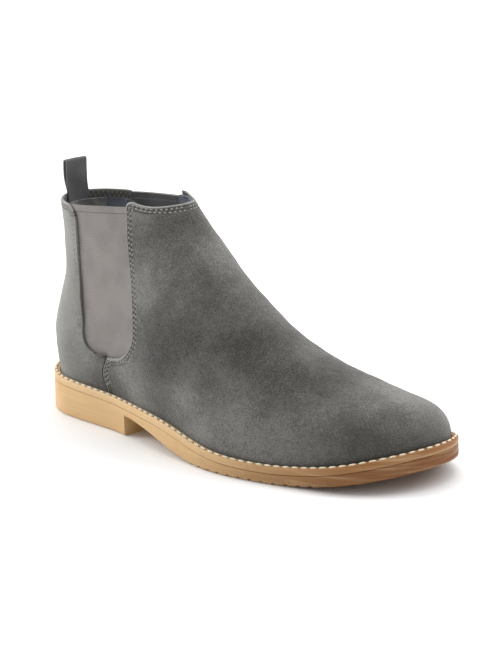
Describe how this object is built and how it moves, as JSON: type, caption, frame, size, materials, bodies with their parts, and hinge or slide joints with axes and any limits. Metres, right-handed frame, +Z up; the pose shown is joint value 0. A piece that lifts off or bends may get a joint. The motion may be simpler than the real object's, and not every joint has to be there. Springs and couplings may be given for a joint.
{
  "type": "chelsea boot",
  "caption": "Ankle-high pull-on boot for a right foot, suede upper with elastic side panels, a webbing pull tab and a low moulded rubber sole with a stitched rim.",
  "frame": {"origin": "under the middle of the boot's box, on the ground", "axes": "+X from heel to toe, +Y towards the inner ankle, +Z up"},
  "size_m": [0.3036, 0.119, 0.1626],
  "materials": {
    "gum_rubber": "smooth, slightly translucent honey gum rubber",
    "welt_rubber": "smooth honey gum rubber",
    "thread": "waxed cream thread",
    "cork": "cork filler",
    "steel": "sprung steel strip",
    "board": "pressed fibre board",
    "sock": "blue-grey lined foam",
    "suede": "napped grey suede",
    "lining": "blue-grey woven lining",
    "stiffener": "thermoplastic stiffener sheet",
    "elastic": "ribbed taupe elastic",
    "webbing": "dark grey woven webbing"
  },
  "bodies": {
    "boot": {"outsole": "gum_rubber", "welt": "welt_rubber", "welt_thread": "thread", "bottom_filler": "cork", "shank": "steel", "insole_board": "board", "sock_lining": "sock", "vamp": "suede", "vamp_lining": "lining", "toe_puff": "stiffener", "quarter_lateral": "suede", "quarter_medial": "suede", "quarter_lining_lateral": "lining", "quarter_lining_medial": "lining", "heel_grip": "suede", "heel_counter": "stiffener", "gore_lateral": "elastic", "gore_medial": "elastic", "pull_tab_tails": "webbing"},
    "tab": {"pull_tab": "webbing"}
  },
  "joints": [
    {"name": "pull_tab_fold", "type": "hinge", "parent": "boot", "child": "tab", "pos_m": [-0.1397, -0.011, 0.1401], "axis": [0, 1, 0], "range_deg": [-75, 70], "stiffness_Nm_per_rad": 0.01}
  ]
}
